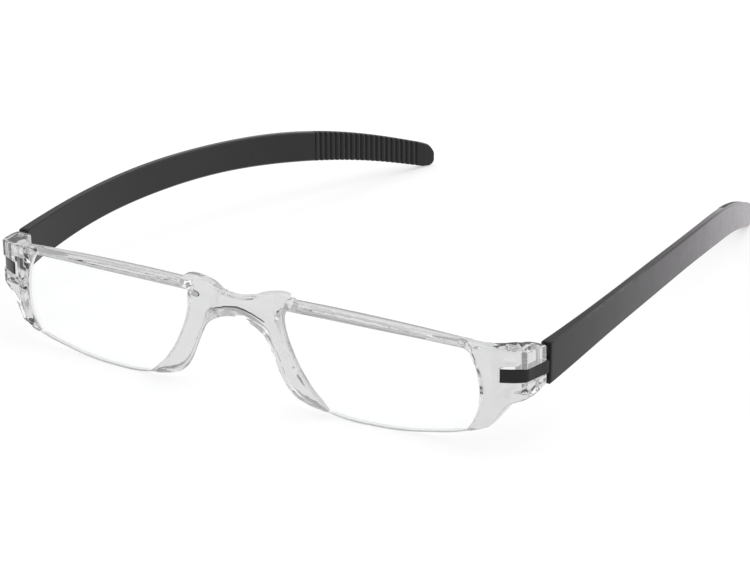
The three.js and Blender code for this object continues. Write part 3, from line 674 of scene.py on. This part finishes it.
def build_lens():
    nu, nv = ((130, 60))
    P = coons(nu, nv)
    idx = np.arange(nu * nv).reshape(nu, nv)
    loop = np.concatenate([idx[:, 0], idx[-1, 1:], idx[:-1, -1][::-1], idx[0, 1:-1][::-1]])
    flat = P.reshape(-1, 2).copy()
    ring = flat[loop]
    tang = np.roll(ring, -1, 0) - np.roll(ring, 1, 0)
    tang /= np.maximum(1e-9, np.linalg.norm(tang, axis=1))[:, None]
    inward = np.stack([-tang[:, 1], tang[:, 0]], 1)
    rings = []
    steps = [(0.16, LENS_FRONT), (0.05, LENS_FRONT + 0.05), (0.0, LENS_FRONT + 0.16), (0.0, LENS_BACK - 0.16), (0.05, LENS_BACK - 0.05), (0.16, LENS_BACK)]
    # the open bottom edge has a wider bevel, front and back
    along = np.zeros(len(loop))
    along[:nu] = np.clip(np.minimum(np.arange(nu), np.arange(nu)[::-1]) / (nu * 0.04), 0, 1)
    wide = (0.3 + 2.6 * along)[:, None]
    verts, faces = [], []
    for k, d in ((0, LENS_FRONT), (1, LENS_BACK)):
        g = flat.copy()
        g[loop] = ring + inward * 0.16 * wide
        verts.append(front_point(g[:, 0], g[:, 1], d))
        for i in range(nu - 1):
            for j in range(nv - 1):
                a, b, c, e = idx[i, j], idx[i + 1, j], idx[i + 1, j + 1], idx[i, j + 1]
                f = [a, b, c, e] if k == 0 else [a, e, c, b]
                faces.append([int(n) + k * nu * nv for n in f])
    base = 2 * nu * nv
    prev = loop
    for n, (ins, d) in enumerate(steps[1:-1]):
        g = ring + inward * ins * wide
        verts.append(front_point(g[:, 0], g[:, 1], d))
        cur = base + n * len(loop) + np.arange(len(loop))
        for a in range(len(loop)):
            b = (a + 1) % len(loop)
            faces.append([int(prev[a]), int(cur[a]), int(cur[b]), int(prev[b])])
        prev = cur
    last = loop + nu * nv
    for a in range(len(loop)):
        b = (a + 1) % len(loop)
        faces.append([int(prev[a]), int(last[a]), int(last[b]), int(prev[b])])
    verts = np.vstack(verts)
    # the bottom edge is ground and open to the air; the other edges are let into the front
    slots = np.zeros(len(faces), np.int32)
    first = 2 * (nu - 1) * (nv - 1)
    n_loop = len(loop)
    for r_ in range(len(steps) - 1):
        for a in range(n_loop):
            side = nu - 1 <= a < nu + nv - 2 or a >= 2 * nu + nv - 3
            slots[first + r_ * n_loop + a] = 1 if a < nu - 1 else (2 if side else 0)
    return verts, outward(verts, faces), slots


v, f, slots = build_lens()
for name, mirror in (("lens_right", False), ("lens_left", True)):
    o = add_object(name + "_clear", v, f, mirror=mirror, sharp=35)
    o.data.materials.append(MAT_LENS)
    o.data.materials.append(MAT_EDGE)
    o.data.materials.append(MAT_SEAT)
    o.data.polygons.foreach_set("material_index", slots)
    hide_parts(name)
    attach(o, "front")


# ---------------------------------------------------------------------------------
# temples
# ---------------------------------------------------------------------------------
heading, mid, height, thick = spline(TEMPLE_HEADING), spline(TEMPLE_MID), spline(TEMPLE_HEIGHT), spline(TEMPLE_THICK)
NP = 1200
hs = np.radians(heading((np.arange(NP) + 0.5) / NP))
path_x = TEMPLE_X0 - np.concatenate([[0], np.cumsum(np.sin(hs))]) * TEMPLE_LEN / NP
path_y = TEMPLE_FACE_Y + np.concatenate([[0], np.cumsum(np.cos(hs))]) * TEMPLE_LEN / NP
path_s = np.linspace(0, TEMPLE_LEN, NP + 1)


def temple_point(s, w, z):
    a = np.radians(heading(s / TEMPLE_LEN))
    return np.stack([np.interp(s, path_s, path_x) - np.cos(a) * w, np.interp(s, path_s, path_y) - np.sin(a) * w, z + 0 * w], -1)


def inner_face(s):
    """the temple thins behind the hinge, evenly about its middle"""
    return TEMPLE_T / 2 + float(thick(s / TEMPLE_LEN)) / 2


def half_height(s):
    hh = height(s / TEMPLE_LEN) / 2
    e = s - (TEMPLE_LEN - TIP_R)
    return np.where(e > 0, hh * np.sqrt(np.maximum(0.06, 1 - (np.maximum(e, 0) / TIP_R) ** 2)), hh)


def box_ring(w0, w1, z0, z1, r, n=4):
    """a rounded rectangle in (w, z)"""
    r = min(r, (w1 - w0) / 2 * 0.98, (z1 - z0) / 2 * 0.98)
    pts = []
    for cx, cz, a0 in ((w1 - r, z1 - r, 0), (w0 + r, z1 - r, 90), (w0 + r, z0 + r, 180), (w1 - r, z0 + r, 270)):
        for k in range(n + 1):
            a = math.radians(a0 + 90 * k / n)
            pts.append([cx + r * math.cos(a), cz + r * math.sin(a)])
    return np.array(pts)


def temple_rings(stations, w0f, w1f, inset=None):
    rings = []
    for i, s in enumerate(stations):
        m, hh = float(mid(s / TEMPLE_LEN)), float(half_height(np.array(s)))
        ins = 0.0 if inset is None else inset[i]
        ring = box_ring(w0f(s) + ins, w1f(s) - ins, m - hh + ins, m + hh - ins, 0.3, 1)
        p = temple_point(np.full(len(ring), s), ring[:, 0], ring[:, 1])
        p[:, 2] = np.maximum(p[:, 2], -HZ * 1000)
        rings.append(p)
    return rings


def build_temple():
    n = 180
    body = list(np.linspace(0.3, TEMPLE_LEN - TIP_R, n))
    r0, r1 = GRIP_S0 - 0.1, GRIP_S1 + 0.1
    body = [s for s in body if abs(s - r0) > 0.3 and abs(s - r1) > 0.3] + [r0 - 0.02, r0, r0 + 0.02, r1 - 0.02, r1, r1 + 0.02]
    body.sort()
    stations = [0.0, 0.04, 0.14] + body
    inset = [0.3, 0.12, 0.03] + [0.0] * len(body)
    for e in (0.2, 0.35, 0.5, 0.62, 0.73, 0.82, 0.9, 0.95, 0.985, 1.0):
        stations.append(TEMPLE_LEN - TIP_R + TIP_R * e)
        inset.append(0.0 if e < 0.9 else 0.35 * ((e - 0.9) / 0.1) ** 1.5)
    w1 = lambda s: inner_face(s) - (RECESS if r0 < s < r1 else 0.0)
    rings = temple_rings(stations, lambda s: TEMPLE_T - inner_face(s), w1, inset)
    v, f = loft(rings)
    return v, outward(v, f)


def build_tongue():
    """the hooked tongue with its knuckle, a rounded-edge plate with the pin's bore"""
    o, e = PIN_X, 0.05
    fx = o - 3.5
    fy = lambda x: float(front_y(np.array(x)))
    slope = (fy(fx + e) - fy(fx - e)) / (2 * e)
    l = math.hypot(1, slope)
    outer = catmull([[o + 2.4, 4.0], [o + 2.33, 2.25], [o + 1.9, 0], [o + 1.5, -2.2], [o + 1.34, -3.3]], 4)
    corner = catmull([[o + 1.34, -3.3], [o + 1.2, -4.0], [o + 0.85, -4.6], [o + 0.3, fy(o + 0.3)]], 5)[1:]
    front_edge = [[o + dx, fy(o + dx)] for dx in np.linspace(0.0, -3.3, 12)]
    tip = [[fx, fy(fx) + 0.02], [fx - TONGUE_T * slope / l, fy(fx) + TONGUE_T / l]]
    back = [[o - 2.8, -4.55], [o - 1.75, -3.1], [o - 1.55, -2.2], [o - 1.72, -1.3]]
    knuckle = [[o + KNUCKLE_R * math.cos(a), KNUCKLE_R * math.sin(a)] for a in np.linspace(math.pi * 1.12, math.pi * 0.5, 16)]
    tail = [[o + 0.25, 2.3], [o + 0.25, 4.0]]
    P = np.array(list(outer) + list(corner) + front_edge + tip + back + knuckle + tail)
    area = 0.5 * np.sum(P[:, 0] * np.roll(P[:, 1], -1) - np.roll(P[:, 0], -1) * P[:, 1])
    if area < 0:
        P = P[::-1]
    return P


def distance_mesh(P, z0, z1, bore, r, h):
    lo, hi = P.min(0) - 1, P.max(0) + 1
    x, y = np.arange(lo[0], hi[0], h), np.arange(lo[1], hi[1], h)
    z = np.arange(z0 - 0.8, z1 + 0.8, h)
    X2, Y2 = np.meshgrid(x, y, indexing="ij")
    D = polygon_distance(P, X2, Y2)
    D = np.maximum(D, bore - np.hypot(X2 - PIN_X, Y2))
    F = rounded(r, D[:, :, None] + 0 * z[None, None], (np.abs(z - (z0 + z1) / 2) - (z1 - z0) / 2)[None, None] + 0 * D[:, :, None])
    return surface_nets(F.astype(np.float32), (x, y, z))


tv, tf = build_temple()
kv, kf = distance_mesh(build_tongue(), TONGUE_BOTTOM, TONGUE_TOP, 0.6, 0.16, 0.09)
tv2 = np.vstack([tv, kv])
tf2 = list(tf) + [[int(i) + len(tv) for i in q] for q in kf]
for side_name, mirror in (("right", False), ("left", True)):
    o = add_object("temple_" + side_name + "_dark", tv2, tf2, mirror=mirror, sharp=42)
    o.data.materials.append(MAT_TEMPLE)
    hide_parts("temple_" + side_name)
    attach(o, "temple_" + side_name)


# ---------------------------------------------------------------------------------
# ribbed grips on the inner faces of the temple tips
# ---------------------------------------------------------------------------------
def build_grip():
    stations, cut = [GRIP_S0, GRIP_S0 + 0.05, GRIP_S0 + 0.2], [0.0, 0.0, 0.0]
    count = int((GRIP_S1 - GRIP_S0 - 1.0) / RIB_PITCH)
    for i in range(count):
        s = GRIP_S0 + 1.0 + i * RIB_PITCH
        for t, c in ((0.0, 0.0), (0.06, 0.12), (0.14, 0.55), (0.22, 0.92), (0.32, 1.0), (0.42, 1.0), (0.52, 0.92), (0.6, 0.55), (0.68, 0.12), (0.74, 0.0), (1.1, 0.0)):
            stations.append(s + t)
            cut.append(c)
    stations += [GRIP_S1 - 0.05, GRIP_S1]
    cut += [0.0, 0.0]
    rings = []
    for i, (s, c) in enumerate(zip(stations, cut)):
        m, hh = float(mid(s / TEMPLE_LEN)), float(half_height(np.array(s)))
        g = RIB_DEPTH * c
        end = 0.12 if i in (0, len(stations) - 1) else 0.0
        wi = inner_face(s)
        ring = box_ring(wi - RECESS + 0.06, wi + 0.12 - g - end, m - hh - 0.02 + 0.7 * g + end, m + hh + 0.02 - 0.7 * g - end, 0.42, 5)
        # the side against the temple stays flat and full width
        p = temple_point(np.full(len(ring), s), ring[:, 0], ring[:, 1])
        p[:, 2] = np.maximum(p[:, 2], -HZ * 1000)
        rings.append(p)
    v, f = loft(rings)
    return v, outward(v, f)


gv, gf = build_grip()
for side_name, mirror in (("right", False), ("left", True)):
    o = add_object("grip_" + side_name + "_ribbed", gv, gf, mirror=mirror, sharp=60)
    o.data.materials.append(MAT_GRIP)
    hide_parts("grip_" + side_name)
    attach(o, "temple_" + side_name)


# ---------------------------------------------------------------------------------
# hinge pins: turned steel with chamfered ends and a centre dimple
# ---------------------------------------------------------------------------------
def build_pin():
    r, z0, z1 = 0.54, -4.2, 4.0
    prof = [(0.0, z0 + 0.12), (0.2, z0 + 0.05), (0.3, z0), (r - 0.14, z0), (r - 0.04, z0 + 0.06), (r, z0 + 0.18), (r, -2.0), (r, 0.0), (r, 2.0), (r, z1 - 0.18), (r - 0.04, z1 - 0.06), (r - 0.14, z1), (0.3, z1), (0.2, z1 - 0.05), (0.0, z1 - 0.12)]
    n = 48
    rings = []
    for rr, zz in prof[1:-1]:
        a = np.linspace(0, 2 * math.pi, n, endpoint=False)
        rings.append(np.stack([PIN_X + rr * np.cos(a), rr * np.sin(a), np.full(n, zz)], 1))
    v, f = loft(rings)
    v[-2, 2], v[-1, 2] = prof[0][1], prof[-1][1]
    return v, outward(v, f)


pv, pf = build_pin()
for side_name, mirror in (("right", False), ("left", True)):
    o = add_object("hinge_pin_" + side_name + "_steel", pv, pf, mirror=mirror, sharp=40)
    o.data.materials.append(MAT_PIN)
    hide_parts("hinge_pin_" + side_name)
    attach(o, "front")


# ---------------------------------------------------------------------------------
# floor, light and camera
# ---------------------------------------------------------------------------------
lo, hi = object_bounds()


def stage_floor():
    n = 96
    S = 3.0
    me = bpy.data.meshes.new("table_top")
    g = np.linspace(-S, S, n)
    verts = [[float(a), float(b), lo.z - 0.0002] for a in g for b in g]
    faces = [[i * n + j, (i + 1) * n + j, (i + 1) * n + j + 1, i * n + j + 1] for i in range(n - 1) for j in range(n - 1)]
    me.from_pydata(verts, [], faces)
    me.update()
    o = bpy.data.objects.new("table_top", me)
    bpy.context.scene.collection.objects.link(o)
    m, nt, b = node_material("pale_table")
    nn = noise(nt, 3.0, 2.0, 0.5)
    r = ramp(nt, nn.outputs["Fac"], (0.44, 0.442, 0.445, 1), (0.46, 0.462, 0.465, 1))
    nt.links.new(r.outputs["Color"], b.inputs["Base Color"])
    b.inputs["Roughness"].default_value = 0.9
    b.inputs["Specular IOR Level"].default_value = 0.0
    b.inputs["Emission Color"].default_value = (1, 1, 1, 1)
    b.inputs["Emission Strength"].default_value = 0.545
    o.data.materials.append(m)
    return o


stage_floor()


def area_light(name, loc, target, size_x, size_y, power):
    L = bpy.data.lights.new(name, "AREA")
    L.shape = "RECTANGLE"
    L.size, L.size_y = size_x, size_y
    L.energy = power
    L.use_shadow = True
    o = bpy.data.objects.new(name, L)
    o.location = loc
    o.rotation_mode = "QUATERNION"
    o.rotation_quaternion = (Vector(target) - Vector(loc)).to_track_quat("-Z", "Y")
    bpy.context.scene.collection.objects.link(o)
    return o


area_light("light_top", (0.1, 0.15, 0.9), (0, 0, 0), 1.2, 1.2, 4.0)
back_light = area_light("light_back", (0.3, 1.0, 0.45), (0, 0, 0.01), 1.2, 0.7, 1.8)
back_light.visible_glossy = False
area_light("light_right", (1.1, -0.1, 0.35), (0.06, 0, 0.01), 0.7, 0.6, 1.5)
rim_light = area_light("light_rim", (0.52, 0.96, 0.58), (0.06, 0, 0.01), 0.36, 0.26, 1.3)
rim_light.visible_transmission = False

world = bpy.data.worlds.new("studio")
bpy.context.scene.world = world
world.use_nodes = True
nt = world.node_tree
bg = nt.nodes["Background"]
tc = nt.nodes.new("ShaderNodeTexCoord")
sep = nt.nodes.new("ShaderNodeSeparateXYZ")
nt.links.new(tc.outputs["Generated"], sep.inputs["Vector"])
cr = nt.nodes.new("ShaderNodeValToRGB")
cr.color_ramp.elements[0].position, cr.color_ramp.elements[0].color = 0.48, (1.0, 1.0, 1.0, 1)
cr.color_ramp.elements[1].position, cr.color_ramp.elements[1].color = 1.0, (0.86, 0.86, 0.87, 1)
mp = nt.nodes.new("ShaderNodeMapRange")
mp.inputs["From Min"].default_value, mp.inputs["From Max"].default_value = -1, 1
nt.links.new(sep.outputs["Z"], mp.inputs["Value"])
nt.links.new(mp.outputs["Result"], cr.inputs["Fac"])
# the side the viewer stands on is darker than the rest of the room
dot = nt.nodes.new("ShaderNodeVectorMath")
dot.operation = "DOT_PRODUCT"
dot.inputs[1].default_value = (0.49, -0.80, 0.34)
nt.links.new(tc.outputs["Generated"], dot.inputs[0])
shade = nt.nodes.new("ShaderNodeMapRange")
shade.interpolation_type = "SMOOTHSTEP"
shade.inputs["From Min"].default_value, shade.inputs["From Max"].default_value = 0.62, 0.95
shade.inputs["To Min"].default_value, shade.inputs["To Max"].default_value = 1.0, 0.42
nt.links.new(dot.outputs["Value"], shade.inputs["Value"])
far = nt.nodes.new("ShaderNodeVectorMath")
far.operation = "DOT_PRODUCT"
far.inputs[1].default_value = (-0.46, 0.80, 0.40)
nt.links.new(tc.outputs["Generated"], far.inputs[0])
shade2 = nt.nodes.new("ShaderNodeMapRange")
shade2.interpolation_type = "SMOOTHSTEP"
shade2.inputs["From Min"].default_value, shade2.inputs["From Max"].default_value = 0.78, 0.97
shade2.inputs["To Min"].default_value, shade2.inputs["To Max"].default_value = 1.0, 0.62
nt.links.new(far.outputs["Value"], shade2.inputs["Value"])
deep = nt.nodes.new("ShaderNodeMath")
deep.operation = "MULTIPLY"
nt.links.new(shade.outputs["Result"], deep.inputs[0])
nt.links.new(shade2.outputs["Result"], deep.inputs[1])
both = nt.nodes.new("ShaderNodeMixRGB")
both.blend_type = "MULTIPLY"
both.inputs["Fac"].default_value = 1.0
nt.links.new(cr.outputs["Color"], both.inputs["Color1"])
nt.links.new(deep.outputs["Value"], both.inputs["Color2"])
nt.links.new(both.outputs["Color"], bg.inputs["Color"])
bg.inputs["Strength"].default_value = 0.9


def set_camera():
    """the viewpoint, stated in hinge millimetres for level glasses"""
    a, e, D, f = 0.54997, 0.35087, 656.87924, 3251.00572
    tx, ty = 20.73735, 4.40111
    back = np.array([math.sin(a) * math.cos(e), -math.cos(a) * math.cos(e), math.sin(e)])
    right = np.array([math.cos(a), math.sin(a), 0.0])
    up = np.cross(back, right)
    C = (back * D + right * tx + up * ty) * K
    C = C + np.array([0, 2.6, 0])
    # the glasses were levelled by turning 0.0072 rad about the hinge line
    t = 0.0072
    y0 = 0.0
    R = np.array([[1, 0, 0], [0, math.cos(t), math.sin(t)], [0, -math.sin(t), math.cos(t)]])
    C = R @ (C - np.array([0, y0, 0])) + np.array([0, y0, 0])
    back, right, up = R @ back, R @ right, R @ up
    cam = bpy.data.cameras.new("camera")
    cam.sensor_width = 36.0
    cam.lens = 36.0 * f / 750.0
    cam.clip_start, cam.clip_end = 0.01, 50
    o = bpy.data.objects.new("camera", cam)
    bpy.context.scene.collection.objects.link(o)
    M = Matrix(((right[0], up[0], back[0], 0), (right[1], up[1], back[1], 0), (right[2], up[2], back[2], 0), (0, 0, 0, 1)))
    o.matrix_world = Matrix.Translation(Vector(place(C[None])[0])) @ M
    bpy.context.scene.camera = o


set_camera()
bpy.context.scene.view_settings.view_transform = "Standard"
